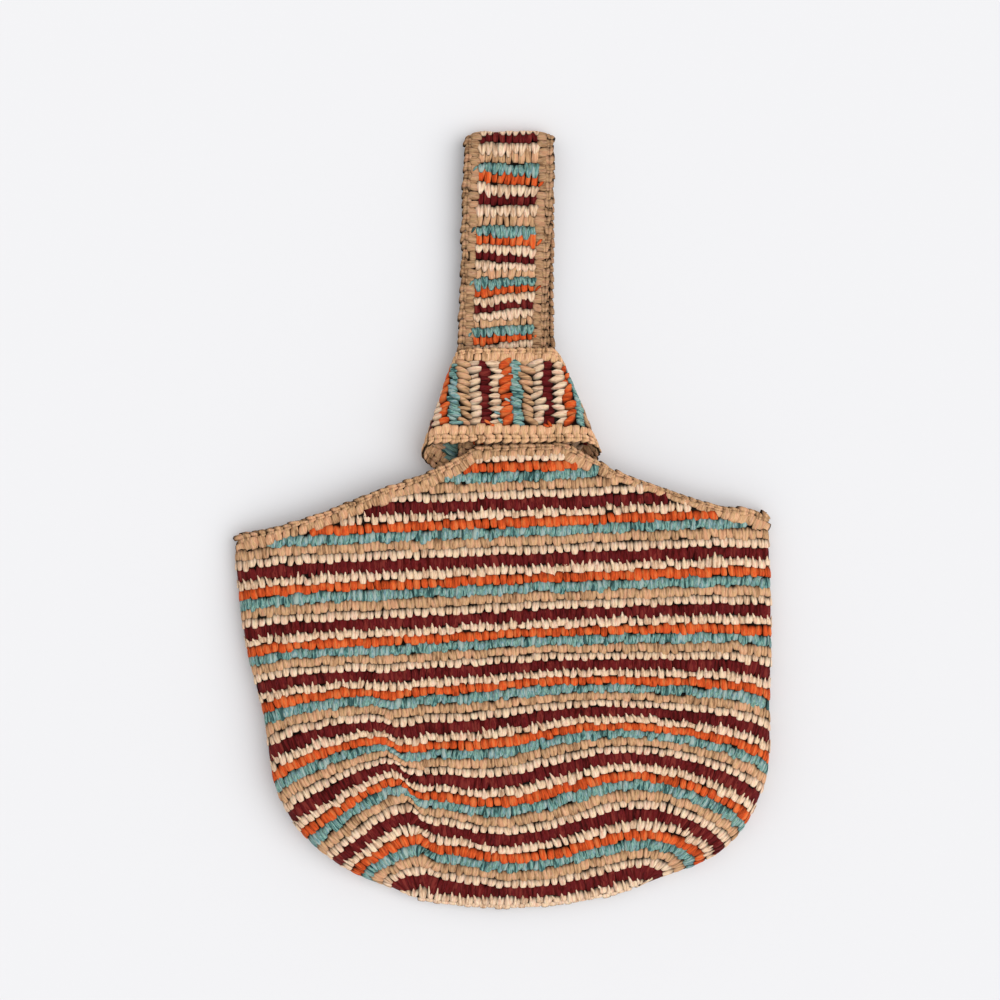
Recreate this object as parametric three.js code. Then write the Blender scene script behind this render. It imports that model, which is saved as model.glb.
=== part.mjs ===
// A crocheted raffia knot bag, lying flat on its back.
// The pouch is worked in rounds from a starting chain, then in rows into a front and a back flap.
// A long strap is sewn into the front flap, folded double and pulled through the short loop,
// which is sewn into the back flap. Every free edge has a crocheted edging.
// Millimetres: +X to the right, +Y along the strap, +Z up from the surface that it lies on.
import * as THREE from "three";
import { LoftGeometry } from "three/addons/geometries/LoftGeometry.js";

const { lerp, smoothstep } = THREE.MathUtils;

// Fabric: rows of raffia crochet, each row a ridge on the outer face.
const WALL = 3;
const RIDGE = 1;
const FABRIC = WALL + RIDGE;
const ROW_HEIGHT = 5.5;
const CLEARANCE = 0.4;

// Pouch: rounds up to the rim corners, then rows in each flap.
const ROUNDS = 40;
const FLAP_ROWS = 9;
const HALF_WIDTH = 161;
const DEPTH = 216;
const BELLY_HEIGHT = 35;
const BELLY_ROWS = 14;
const BASE_TURN_ROWS = 2.5;
const FRONT_ROUNDNESS = 2.8;
const BACK_ROUNDNESS = 5;
const FRONT_COLUMNS = 22;
const BACK_COLUMNS = 8;

// Side folds from the starting chain to the rim corners, at equal steps of rounds:
// across as a share of HALF_WIDTH, along as a share of DEPTH, and height in thicknesses of fabric.
const LEFT_FOLD = [
  [-0.324, -0.975, 2],
  [-0.6, -0.879, 3],
  [-0.815, -0.692, 3.25],
  [-0.896, -0.451, 3],
  [-0.965, -0.246, 2.5],
  [-1, -0.03, 1.75],
];
const RIGHT_FOLD = [
  [0.496, -0.947, 2],
  [0.798, -0.846, 3],
  [0.968, -0.641, 3.25],
  [1, -0.41, 3],
  [1.005, -0.182, 2.5],
  [1, 0.03, 1.75],
];
// A fold that runs nearly across the bag widens an inset, down to this share of its direction.
const LEAST_RUN = 0.4;
// How far the middle of a row stands above its two ends, as a share of DEPTH.
// The arch is a round one at the base and a flat one, with steep ends, from half way up.
const ROW_ARCHES = [-0.038, 0.047, 0.067, 0.039, 0.018, 0.014];
const ROUND_ARCH = 2;
const FLAT_ARCH = 8;
const INNER_STEPS = 6;

// Two soft swells in the front, left and right of a hollow. They lift the rows, by a share of DEPTH,
// and the surface, by a share of BELLY_HEIGHT. Their place and spreads are shares of HALF_WIDTH.
const SWELL_ROUND = 9;
const SWELL_SPREAD = 6.5;
const SWELLS = [
  { across: -0.41, leftSpread: 0.22, rightSpread: 0.15, lift: 0.06, height: 0.14 },
  { across: 0.57, leftSpread: 0.34, rightSpread: 0.25, lift: 0.046, height: 0.115 },
];

// Flap slopes from the rim corners to the flap's top, at equal steps of rows.
const LEFT_SLOPE = [-1, -0.68, -0.465, -0.23, -0.1];
const RIGHT_SLOPE = [1, 0.77, 0.57, 0.37, 0.235];
const RIM_EDGING = 7;
const EDGING_THICKNESS = 3.4;
const EDGING_STITCH_ROWS = 1.5;

// Long strap: its outer end is a fold, both its ends lie inside the front flap.
const STRAP_FIELD = 36;
const STRAP_EDGING = 8;
const STRAP_ACROSS = 4.5;
const STRAP_BACK_SHIFT = -2.5;
const STRAP_REACH = 249.5;
const STRAP_TUCK = 20;
const STRAP_LOOP_GAP = 6.2;
const STRAP_SETTLE = 30;
// The length of a curve's handle that makes a quarter of a circle of radius 1.
const CIRCLE_HANDLE = 0.552;

// Short loop: a band round the strap, wider below, its back half low inside the back flap.
const LOOP_FIELD = 38;
const LOOP_TOP_EDGING = 7.6;
const LOOP_BOTTOM_EDGING = 9.6;
const LOOP_EASE = 1.2;
const LOOP_BOTTOM_ACROSS = 5.4;
const LOOP_BOTTOM_HALF_WIDTH = 54.5;
const LOOP_LIFT = 4;
const LOOP_BACK_DROP = 22;
const LOOP_DROP_SHARE = 0.15;
const LOOP_SQUARENESS = 0.85;
const LOOP_FACE_ROWS = 14;
const LOOP_SIDE_ROWS = 2;

// The layers at the neck, from the surface up: back flap, loop, strap, strap, front flap.
const LAYER = FABRIC + CLEARANCE;
const LOOP_BACK = LAYER;
const STRAP_LOWER = LOOP_BACK + LAYER;
const STRAP_UPPER = STRAP_LOWER + LAYER;
const FRONT_FLAP = STRAP_UPPER + LAYER;
const NECK_HEIGHT = FRONT_FLAP + FABRIC;

// Pouch surface

// A smooth curve that reaches its points at equal steps.
function foldCurve(points) {
  const scale = new THREE.Vector3(HALF_WIDTH, DEPTH, FABRIC);
  const scaled = points.map((point) => new THREE.Vector3(...point).multiply(scale));
  return new THREE.CatmullRomCurve3(scaled, false, "catmullrom");
}

// A smooth value that takes the given values at equal steps.
function smoothValue(values) {
  const curve = new THREE.SplineCurve(values.map((value, step) => new THREE.Vector2(step, value)));
  return (share) => curve.getPoint(share).y;
}

const leftFold = foldCurve(LEFT_FOLD);
const rightFold = foldCurve(RIGHT_FOLD);
const rowArch = smoothValue(ROW_ARCHES.map((rise) => rise * DEPTH));
const leftSlope = smoothValue(LEFT_SLOPE);
const rightSlope = smoothValue(RIGHT_SLOPE);
const baseHeight = leftFold.getPoint(0).z;
const cornerHeight = leftFold.getPoint(1).z;

// A bump of height 1 at zero that falls off on both sides.
function bump(distance) {
  return Math.exp(-distance * distance);
}

// The height of the front's middle line: round at the base, fullest in the belly, flat at the neck.
function crownHeight(row) {
  const rise = 1 - (1 - Math.min(1, row / BELLY_ROWS)) ** 2;
  const fall = smoothstep(row, BELLY_ROWS, ROUNDS + FLAP_ROWS / 2);
  return lerp(lerp(baseHeight, BELLY_HEIGHT, rise), NECK_HEIGHT, fall);
}

// The height of the back, which turns under from the base fold and then lies flat.
function backHeight(row) {
  return baseHeight * Math.max(0, 1 - row / BASE_TURN_ROWS) ** 2;
}

// How much wider an inset is when measured across a slanting fold.
function slant(fold, share) {
  const direction = fold.getTangent(share);
  return 1 / Math.max(LEAST_RUN, Math.abs(direction.y));
}

// A point of the fabric: across from -1 at the left fold to 1 at the right one, row counted
// from the starting chain, and inset measured into the fabric from its outer face.
function pouchPoint(side, across, row, inset) {
  const level = Math.min(row, ROUNDS);
  const share = level / ROUNDS;
  const onFlap = row > ROUNDS;
  const left = leftFold.getPoint(share);
  const right = rightFold.getPoint(share);
  const sideInset = onFlap ? 0 : inset;
  const x = lerp(
    left.x + sideInset * slant(leftFold, share),
    right.x - sideInset * slant(rightFold, share),
    (across + 1) / 2,
  );
  const flatness = lerp(ROUND_ARCH, FLAT_ARCH, Math.min(1, row / (ROUNDS / 2)));
  const arch = rowArch(share) * (1 - Math.abs(across) ** flatness);
  let y = lerp(left.y, right.y, (across + 1) / 2) + arch + (row - level) * ROW_HEIGHT;
  const foldHeight = lerp(left.z, right.z, (across + 1) / 2);
  const roundness = side === "front" ? FRONT_ROUNDNESS : BACK_ROUNDNESS;
  const fullness = (1 - Math.min(1, Math.abs(across)) ** roundness) ** (1 / roundness);
  if (side === "back") {
    const drop = foldHeight - backHeight(row);
    const z = onFlap ? foldHeight - drop * fullness + inset : foldHeight - (drop - inset) * fullness;
    return new THREE.Vector3(x, y, z);
  }
  const rise = crownHeight(row) - foldHeight;
  let z = onFlap ? foldHeight + rise * fullness - inset : foldHeight + (rise - inset) * fullness;
  for (const swell of SWELLS) {
    const aside = x / HALF_WIDTH - swell.across;
    const spread = aside < 0 ? swell.leftSpread : swell.rightSpread;
    const strength = bump(aside / spread) * bump((row - SWELL_ROUND) / SWELL_SPREAD) * fullness;
    y += swell.lift * DEPTH * strength;
    z += swell.height * BELLY_HEIGHT * strength;
  }
  return new THREE.Vector3(x, y, z);
}

// Where a flap's row starts or ends, as an across value.
function slopeAcross(slope, row) {
  return slope((row - ROUNDS) / FLAP_ROWS);
}

// One closed skin, made of strips between rows of points that may differ in number.
class Skin {
  positions = [];
  triangles = [];

  point(position) {
    this.positions.push(position.x, position.y, position.z);
    return this.positions.length / 3 - 1;
  }

  strip(lower, upper) {
    let i = 0;
    let j = 0;
    while (i < lower.length - 1 || j < upper.length - 1) {
      const nextLower = (i + 1) / (lower.length - 1);
      const nextUpper = (j + 1) / (upper.length - 1);
      if (j === upper.length - 1 || (i < lower.length - 1 && nextLower <= nextUpper)) {
        this.triangles.push(lower[i], lower[i + 1], upper[j]);
        i += 1;
      } else {
        this.triangles.push(lower[i], upper[j + 1], upper[j]);
        j += 1;
      }
    }
  }

  strips(rows) {
    for (let k = 1; k < rows.length; k += 1) this.strip(rows[k - 1], rows[k]);
  }

  geometry() {
    const geometry = new THREE.BufferGeometry();
    geometry.setAttribute("position", new THREE.Float32BufferAttribute(this.positions, 3));
    geometry.setIndex(this.triangles);
    geometry.computeVertexNormals();
    return geometry;
  }
}

// Even steps from one value to another.
function steps(from, to, count) {
  return Array.from({ length: count + 1 }, (_, k) => lerp(from, to, k / count));
}

// Across values that crowd towards both folds, where the fabric bends most.
function acrossValues(columns) {
  return steps(0, Math.PI, columns).map((angle) => -Math.cos(angle));
}

// A crochet row is a ridge: low where two rows meet, full in between.
function ridgeInset(row) {
  return row % 1 === 0 ? RIDGE : 0;
}

const columnsOf = { front: acrossValues(FRONT_COLUMNS), back: acrossValues(BACK_COLUMNS) };

// The rounds of one face of the wall. The two sides share the points at the folds.
function wallRounds(skin, rows, insetOf) {
  const rounds = { front: [], back: [] };
  for (const row of rows) {
    const inset = insetOf(row);
    const front = columnsOf.front.map((across) => skin.point(pouchPoint("front", across, row, inset)));
    const between = columnsOf.back.slice(1, -1);
    const back = between.map((across) => skin.point(pouchPoint("back", across, row, pressedInset(inset))));
    rounds.front.push(front);
    rounds.back.push([front[0], ...back, front.at(-1)]);
  }
  return rounds;
}

// The rows of the back are pressed flat by the bag's weight, so only its full inset counts.
function pressedInset(inset) {
  return inset < FABRIC ? 0 : inset;
}

// One flap, continued from the last outer and inner rows of the rounds.
function flapRows(skin, side, first, rows, insetOf) {
  const grid = [first];
  for (const row of rows.slice(1)) {
    const from = slopeAcross(leftSlope, row);
    const to = slopeAcross(rightSlope, row);
    const inset = side === "back" ? pressedInset(insetOf(row)) : insetOf(row);
    const acrossRow = columnsOf[side].map((across) => lerp(from, to, (across + 1) / 2));
    grid.push(acrossRow.map((across) => skin.point(pouchPoint(side, across, row, inset))));
  }
  return grid;
}

function reversed(rows) {
  return rows.map((row) => [...row].reverse());
}

// The three free sides of a flap's grid: up the left slope, along the top, down the right slope.
function borderOf(grid) {
  const left = grid.map((row) => row[0]);
  const right = grid.map((row) => row.at(-1)).reverse();
  return [...left, ...grid.at(-1).slice(1), ...right.slice(1)];
}

function pouch() {
  const skin = new Skin();
  const outerRows = steps(0, ROUNDS, 2 * ROUNDS).slice(1);
  const chain = columnsOf.front.map((across) => skin.point(pouchPoint("front", across, 0, 0)));
  const outer = wallRounds(skin, outerRows, ridgeInset);
  skin.strips([chain, ...outer.front]);
  skin.strips(reversed([chain, ...outer.back]));

  const innerStart = BASE_TURN_ROWS / 2;
  const turned = [innerStart + 1, innerStart + BASE_TURN_ROWS];
  const innerRows = [...turned, ...steps(BELLY_ROWS / 2, ROUNDS, INNER_STEPS)];
  const innerChain = columnsOf.front.map((across) => {
    const upper = pouchPoint("front", across, innerStart, FABRIC);
    const lower = pouchPoint("back", across, innerStart, FABRIC);
    return skin.point(upper.lerp(lower, 0.5));
  });
  const inner = wallRounds(skin, innerRows, () => FABRIC);
  skin.strips(reversed([innerChain, ...inner.front]));
  skin.strips([innerChain, ...inner.back]);

  const rows = steps(ROUNDS, ROUNDS + FLAP_ROWS, 2 * FLAP_ROWS);
  for (const side of ["front", "back"]) {
    const outside = flapRows(skin, side, outer[side].at(-1), rows, ridgeInset);
    const inside = flapRows(skin, side, inner[side].at(-1), rows, () => FABRIC);
    const turn = side === "front" ? (grid) => grid : reversed;
    skin.strips(turn(outside));
    skin.strips(turn(reversed(inside)));
    skin.strips(turn([outside, inside].map(borderOf)));
  }
  return skin.geometry();
}

// Edgings

// The section of an edging: wide in the fabric's plane, in the middle of its thickness, with bevelled sides.
function edgingSection(near, far) {
  const middle = (near + far) / 2;
  const face = (FABRIC - EDGING_THICKNESS) / 2;
  const bevel = face + EDGING_THICKNESS / 4;
  return [
    [near, bevel],
    [middle, face],
    [far, bevel],
    [far, FABRIC - bevel],
    [middle, FABRIC - face],
    [near, FABRIC - bevel],
  ];
}

// The bare edge of a flap in plan, from the left rim corner over the top to the right corner.
function flapEdge(side) {
  const rows = steps(ROUNDS, ROUNDS + FLAP_ROWS, 2 * FLAP_ROWS);
  const top = rows.at(-1);
  const from = slopeAcross(leftSlope, top);
  const to = slopeAcross(rightSlope, top);
  const edge = [
    ...rows.slice(0, -1).map((row) => [slopeAcross(leftSlope, row), row]),
    ...columnsOf[side].map((across) => [lerp(from, to, (across + 1) / 2), top]),
    ...rows.slice(0, -1).reverse().map((row) => [slopeAcross(rightSlope, row), row]),
  ];
  return edge.map(([across, row]) => pouchPoint(side, across, row, 0));
}

// A flap's edging lies beside its edge, and the two edgings lie one above the other at the corners.
function rimEdging(side) {
  const edge = flapEdge(side);
  const section = edgingSection(CLEARANCE, CLEARANCE + RIM_EDGING);
  const sections = edge.map((point, k) => {
    const before = edge[Math.max(0, k - 1)];
    const after = edge[Math.min(edge.length - 1, k + 1)];
    const into = new THREE.Vector2(point.x - before.x, point.y - before.y).normalize();
    const out = new THREE.Vector2(after.x - point.x, after.y - point.y).normalize();
    const isEnd = k === 0 || k === edge.length - 1;
    const along = isEnd ? new THREE.Vector2(1, 0) : into.clone().add(out).normalize();
    const mitre = 1 / along.dot(k === 0 ? out : into);
    const base = side === "front"
      ? Math.max(point.z - FABRIC, cornerHeight + CLEARANCE / 2)
      : Math.min(point.z, cornerHeight - CLEARANCE / 2 - FABRIC);
    return section.map(([reach, height]) => new THREE.Vector3(
      point.x - along.y * mitre * reach,
      point.y + along.x * mitre * reach,
      base + height,
    ));
  });
  return new LoftGeometry(sections, { capStart: true, capEnd: true });
}

// Long strap

const flapTop = Math.max(...flapEdge("front").map((point) => point.y));
const loopBottom = flapTop + RIM_EDGING + 2 * CLEARANCE;
const loopHeight = LOOP_BOTTOM_EDGING + LOOP_FIELD + LOOP_TOP_EDGING + 2 * CLEARANCE;
const loopTop = loopBottom + loopHeight;

// The strap's middle line in the YZ plane, from the upper end round the fold to the lower end.
function strapPath() {
  const half = FABRIC / 2;
  const tuck = loopBottom - STRAP_TUCK;
  const settled = loopTop + STRAP_SETTLE;
  const low = half;
  const high = low + FABRIC + STRAP_LOOP_GAP;
  const radius = (high - low) / 2;
  const turn = STRAP_REACH - half - radius;
  const round = radius * CIRCLE_HANDLE;
  const at = (y, z) => new THREE.Vector3(0, y, z);
  const path = new THREE.CurvePath();
  const line = (a, b) => path.add(new THREE.LineCurve3(a, b));
  const bend = (a, b, c, d) => path.add(new THREE.CubicBezierCurve3(a, b, c, d));
  const upper = STRAP_UPPER + half;
  const lower = STRAP_LOWER + half;
  const middle = (loopTop + settled) / 2;
  line(at(tuck, upper), at(loopTop, upper));
  bend(at(loopTop, upper), at(middle, upper), at(middle, high), at(settled, high));
  line(at(settled, high), at(turn, high));
  const end = turn + radius;
  const mid = low + radius;
  bend(at(turn, high), at(turn + round, high), at(end, mid + round), at(end, mid));
  bend(at(end, mid), at(end, mid - round), at(turn + round, low), at(turn, low));
  line(at(turn, low), at(settled, low));
  bend(at(settled, low), at(middle, low), at(middle, lower), at(loopTop, lower));
  line(at(loopTop, lower), at(tuck, lower));
  return path;
}

const strapHalfWidth = STRAP_FIELD / 2 + CLEARANCE + STRAP_EDGING;
const strapLine = strapPath();
const strapLength = strapLine.getLength();

// A point of the strap: share of its length, across from its middle, depth in from its outer face.
function strapPoint(share, across, depth) {
  const middle = strapLine.getPoint(share);
  const tangent = strapLine.getTangent(share);
  const shift = STRAP_BACK_SHIFT * Math.max(0, 2 * share - 1);
  const outward = FABRIC / 2 - depth;
  return new THREE.Vector3(
    STRAP_ACROSS + shift + across,
    middle.y - tangent.z * outward,
    middle.z + tangent.y * outward,
  );
}

function strapLoft(section, stations) {
  const sections = steps(0, 1, stations).map((share, k) => (
    section(k).map(([across, depth]) => strapPoint(share, across, depth))
  ));
  return new LoftGeometry(sections, { capStart: true, capEnd: true });
}

function longStrap() {
  const half = STRAP_FIELD / 2;
  const rows = Math.round(strapLength / ROW_HEIGHT);
  const section = (k) => {
    const outer = k % 2 === 0 ? RIDGE : 0;
    return [[half, outer], [half, FABRIC], [-half, FABRIC], [-half, outer]];
  };
  return strapLoft(section, 2 * rows);
}

function strapEdging(side) {
  const near = strapHalfWidth - STRAP_EDGING;
  const section = edgingSection(near, strapHalfWidth).map(([across, depth]) => [side * across, depth]);
  const ordered = side > 0 ? section : section.reverse();
  return strapLoft(() => ordered, Math.round(strapLength / (EDGING_STITCH_ROWS * ROW_HEIGHT)));
}

// Short loop

const loopTopHalfWidth = strapHalfWidth + Math.abs(STRAP_BACK_SHIFT) / 2 + LOOP_EASE + FABRIC;
const loopTopAcross = STRAP_ACROSS + STRAP_BACK_SHIFT / 2;

// The places round the loop, in order: along its front, round the right side, along its back,
// and round the left side. Each is a stretch and a share of it.
const loopPlaces = [
  ...steps(0, 1, 2 * LOOP_FACE_ROWS).slice(1).map((share) => ["front", share]),
  ...steps(0, 1, 2 * LOOP_SIDE_ROWS).slice(1).map((share) => ["right", share]),
  ...steps(0, 1, 2 * LOOP_FACE_ROWS).slice(1).map((share) => ["back", share]),
  ...steps(0, 1, 2 * LOOP_SIDE_ROWS).slice(1).map((share) => ["left", share]),
];

// How far down its drop the loop has come: none in front, all of it in the middle of the back.
function loopDrop(stretch, share) {
  const distance = {
    front: -LOOP_DROP_SHARE,
    right: LOOP_DROP_SHARE * (share - 1),
    back: Math.min(share, 1 - share),
    left: -LOOP_DROP_SHARE * share,
  }[stretch];
  return LOOP_BACK_DROP * smoothstep(distance, -LOOP_DROP_SHARE, 2 * LOOP_DROP_SHARE);
}

// A point of the loop: a place round it, height above its lower edge, depth in from its outer face.
function loopPoint([stretch, share], height, depth) {
  const up = height / loopHeight;
  const front = FRONT_FLAP + LOOP_EASE + FABRIC + LOOP_LIFT * (1 - up) - depth;
  const back = LOOP_BACK + depth;
  const bend = (front - back) / 2;
  const halfWidth = lerp(LOOP_BOTTOM_HALF_WIDTH, loopTopHalfWidth, up) - depth;
  const flat = halfWidth - bend;
  const square = LOOP_SQUARENESS * bend;
  const at = (x, z) => new THREE.Vector3(x, 0, z);
  const middle = (front + back) / 2;
  const side = stretch === "left" ? -1 : 1;
  const corner = (from, to) => [
    new THREE.CubicBezierCurve3(
      at(side * flat, from),
      at(side * (flat + square), from),
      at(side * halfWidth, middle + (from - middle) * (1 - LOOP_SQUARENESS)),
      at(side * halfWidth, middle),
    ),
    new THREE.CubicBezierCurve3(
      at(side * halfWidth, middle),
      at(side * halfWidth, middle + (to - middle) * (1 - LOOP_SQUARENESS)),
      at(side * (flat + square), to),
      at(side * flat, to),
    ),
  ];
  const curves = {
    front: () => [new THREE.LineCurve3(at(-flat, front), at(flat, front))],
    right: () => corner(front, back),
    back: () => [new THREE.LineCurve3(at(flat, back), at(-flat, back))],
    left: () => corner(back, front),
  }[stretch]();
  const step = Math.min(curves.length - 1, Math.floor(share * curves.length));
  const point = curves[step].getPoint(share * curves.length - step);
  point.x += lerp(LOOP_BOTTOM_ACROSS, loopTopAcross, up);
  point.y = loopBottom + height - loopDrop(stretch, share);
  return point;
}

function loopLoft(section) {
  const sections = loopPlaces.map((place, k) => (
    section(k).map(([height, depth]) => loopPoint(place, height, depth))
  ));
  return new LoftGeometry([...sections, sections[0]]);
}

function shortLoop() {
  const bottom = LOOP_BOTTOM_EDGING + CLEARANCE;
  const top = bottom + LOOP_FIELD;
  const section = (k) => {
    const outer = k % 2 === 0 ? RIDGE : 0;
    return [[bottom, outer], [bottom, FABRIC], [top, FABRIC], [top, outer]];
  };
  return loopLoft(section);
}

function loopEdging(near, far) {
  const section = edgingSection(near, far).reverse();
  return loopLoft(() => section);
}

// Assembly

const RAFFIA = { roughness: 0.75, metalness: 0 };
const striped = new THREE.MeshStandardMaterial({ color: 0xc98f63, ...RAFFIA });
const tan = new THREE.MeshStandardMaterial({ color: 0xc4966e, ...RAFFIA });

const bag = new THREE.Group();
const lying = new THREE.Group();
bag.add(lying);

function add(name, geometry, material) {
  const mesh = new THREE.Mesh(geometry, material.clone());
  mesh.name = name;
  lying.add(mesh);
}

add("pouch", pouch(), striped);
add("front_rim_edging", rimEdging("front"), tan);
add("back_rim_edging", rimEdging("back"), tan);
add("long_strap", longStrap(), striped);
add("strap_edging_left", strapEdging(-1), tan);
add("strap_edging_right", strapEdging(1), tan);
add("short_loop", shortLoop(), striped);
add("loop_edging_bottom", loopEdging(0, LOOP_BOTTOM_EDGING), tan);
add("loop_edging_top", loopEdging(loopHeight - LOOP_TOP_EDGING, loopHeight), tan);

// The origin is under the middle of the bag, on the surface that it lies on.
const bounds = new THREE.Box3().setFromObject(lying);
const centre = bounds.getCenter(new THREE.Vector3());
lying.position.set(-centre.x, -centre.y, -bounds.min.z);

export default bag;
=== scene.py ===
"""A crocheted raffia knot bag lying flat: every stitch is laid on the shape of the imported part."""
import math

import bmesh
import bpy
import numpy as np
from mathutils import Matrix


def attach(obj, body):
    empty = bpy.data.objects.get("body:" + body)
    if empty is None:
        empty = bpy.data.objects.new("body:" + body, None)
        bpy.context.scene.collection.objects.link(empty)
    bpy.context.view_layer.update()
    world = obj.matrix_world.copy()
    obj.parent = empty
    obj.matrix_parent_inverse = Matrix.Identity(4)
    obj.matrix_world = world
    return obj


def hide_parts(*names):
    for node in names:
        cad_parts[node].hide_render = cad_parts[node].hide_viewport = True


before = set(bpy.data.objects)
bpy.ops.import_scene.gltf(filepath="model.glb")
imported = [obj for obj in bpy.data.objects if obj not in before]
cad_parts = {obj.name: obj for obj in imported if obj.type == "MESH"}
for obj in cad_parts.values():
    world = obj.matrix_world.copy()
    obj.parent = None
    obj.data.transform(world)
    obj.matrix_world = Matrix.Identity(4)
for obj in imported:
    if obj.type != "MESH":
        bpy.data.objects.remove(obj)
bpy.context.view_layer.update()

# Pouch lining. The bag is one crocheted fabric, worked in rounds from a starting chain and then in
# rows into two flaps. Its inside is a thin ribbed sheet in the yarns' stripes, darkened nearly to black
# as painted shade for the shadow inside the fabric: it carries the stitches, and shows only between
# them and through the mouth. Lengths are millimetres.
MM = 0.001
BAG_MIDDLE = (0.409, 16.517)
FABRIC = 4
ROW_HEIGHT = 5.5
ROUNDS = 40
FLAP_ROWS = 9
HALF_WIDTH = 161
DEPTH = 216
BELLY_HEIGHT = 35
BELLY_ROWS = 14
NECK_HEIGHT = 21.6
BASE_TURN_ROWS = 2.5
FRONT_ROUNDNESS = 2.8
BACK_ROUNDNESS = 5
# Up each side fold: across in half widths, up in depths, thickness in fabrics.
LEFT_FOLD = [
    (-0.324, -0.975, 2), (-0.6, -0.879, 3), (-0.815, -0.692, 3.25),
    (-0.896, -0.451, 3), (-0.965, -0.246, 2.5), (-1, -0.03, 1.75),
]
RIGHT_FOLD = [
    (0.496, -0.947, 2), (0.798, -0.846, 3), (0.968, -0.641, 3.25),
    (1, -0.41, 3), (1.005, -0.182, 2.5), (1, 0.03, 1.75),
]
# From the base up: how far a row's middle stands above its ends, in depths.
ROW_ARCHES = [-0.038, 0.047, 0.067, 0.039, 0.018, 0.014]
BASE_FLATNESS = 2
UPPER_FLATNESS = 8
# From the rim corners up: where a flap's rows end, in half widths.
LEFT_SLOPE = [-1, -0.68, -0.465, -0.23, -0.1]
RIGHT_SLOPE = [1, 0.77, 0.57, 0.37, 0.235]
# Swells and the crease in front: middle, slant, left spread, right spread, lift, height, row, rows.
SWELLS = [
    (-0.357, -0.009, 0.266, 0.204, 0.1065, 0.16, 9, 8.7),
    (0.587, -0.0195, 0.353, 0.44, 0.089, 0.115, 7.4, 14),
    (-0.311, -0.0094, 0.041, 0.092, -0.036, -0.09, 12, 11),
]
CORNER_BULGE = 3.4
CORNER_ROWS = 24
BASE_SAG = 2.5
BASE_SAG_ROWS = 8
LINING_INSET = 1.8
LINING_RIDGE = 0.3
LINING_THICKNESS = 0.8
# Share of the yarns' colours left in the linings: painted shade for the shadow between the stitches.
LINING_SHADE = 0.12
LINING_GRAIN = 520
LINING_CONTRAST = 0.9
LINING_DARKEST = 0.35
LINING_ROUGHNESS = 0.65
LINING_ROUGHNESS_SPREAD = 0.2
LINING_BUMP = 0.6
LINING_COLUMNS = 120
JOIN = 0.02
MATT = 0.05
YARNS = ["orange", "cream", "maroon", "cream", "tan", "teal"]
YARN_COLOURS = {
    "cream": (252, 208, 176), "tan": (218, 168, 126), "maroon": (98, 24, 21),
    "orange": (216, 93, 40), "teal": (124, 158, 147),
}


def through(knots, share, run_on=0.0):
    """A smooth curve through knots at equal steps; with run_on 1 its ends keep their direction."""
    knots = np.asarray(knots, float)
    first = knots[0] + run_on * (knots[0] - knots[1])
    last = knots[-1] + run_on * (knots[-1] - knots[-2])
    points = np.concatenate([[first], knots, [last]])
    place = np.clip(share, 0, 1) * (len(knots) - 1)
    k = np.minimum(place.astype(int), len(knots) - 2)
    t = place - k
    a, b, c, d = (points[k + step] for step in range(4))
    return b + t / 2 * (c - a + t * (2 * a - 5 * b + 4 * c - d + t * (3 * (b - c) + d - a)))


def ease(value, start, end):
    share = np.clip((value - start) / (end - start), 0, 1)
    return share * share * (3 - 2 * share)


def mix(a, b, share):
    return a + (b - a) * share


def pouch_skin(turn, row):
    """The outer face: turn 0 to 1 crosses the front from the left fold, 1 to 2 comes back behind."""
    across = -np.cos(np.pi * turn)
    behind = turn % 2 >= 1
    level = np.clip(row, 0, ROUNDS)
    share = level / ROUNDS
    sizes = (HALF_WIDTH, DEPTH, FABRIC)
    left = [through(knots, share, 1) * size for knots, size in zip(zip(*LEFT_FOLD), sizes)]
    right = [through(knots, share, 1) * size for knots, size in zip(zip(*RIGHT_FOLD), sizes)]
    side = (across + 1) / 2
    x, y, fold = (mix(a, b, side) for a, b in zip(left, right))
    flatness = mix(BASE_FLATNESS, UPPER_FLATNESS, np.minimum(1, row / (ROUNDS / 2)))
    arch = through(ROW_ARCHES, share) * DEPTH * (1 - np.abs(across) ** flatness)
    bulge = CORNER_BULGE * np.sin(np.pi * np.clip(row / CORNER_ROWS, 0, 1)) ** 2 * np.abs(across) ** 3
    x = x + bulge * across
    sag = BASE_SAG * np.clip(1 - row / BASE_SAG_ROWS, 0, 1) ** 2
    y = y + arch + (row - level) * ROW_HEIGHT - bulge / 2 - sag
    roundness = np.where(behind, BACK_ROUNDNESS, FRONT_ROUNDNESS)
    fullness = np.maximum(0, 1 - np.abs(across) ** roundness) ** (1 / roundness)
    base = FABRIC * LEFT_FOLD[0][2]
    rise = 1 - (1 - np.clip(row / BELLY_ROWS, 0, 1)) ** 2
    fall = ease(row, BELLY_ROWS, ROUNDS + FLAP_ROWS / 2)
    crown = mix(mix(base, BELLY_HEIGHT, rise), NECK_HEIGHT, fall)
    under = base * np.maximum(0, 1 - np.maximum(row, 0) / BASE_TURN_ROWS) ** 2
    z = mix(fold, np.where(behind, under, crown), fullness)
    for middle, slant, left_spread, right_spread, lift, height, crest, rows in SWELLS:
        aside = x / HALF_WIDTH - middle - slant * (row - crest)
        spread = np.where(aside < 0, left_spread, right_spread)
        strength = np.exp(-(aside / spread) ** 2 - ((row - crest) / rows) ** 2)
        strength = np.where(behind, 0, strength * fullness * ease(row, 0, BASE_TURN_ROWS))
        y = y + lift * DEPTH * strength
        z = z + height * BELLY_HEIGHT * strength
    return np.stack([x, y, z], axis=-1)


def flap_turn(slope, row):
    """The turn on the front at which a flap's row ends on that slope."""
    across = through(slope, (np.asarray(row, float) - ROUNDS) / FLAP_ROWS)
    return np.arccos(-np.clip(across, -1, 1)) / np.pi


def lie_down(points):
    """Bag millimetres to the part's metres; what touches the surface below is pressed flat."""
    points = np.concatenate([points[:, :2] - BAG_MIDDLE, np.maximum(points[:, 2:], 0)], axis=1)
    return points * MM


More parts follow.
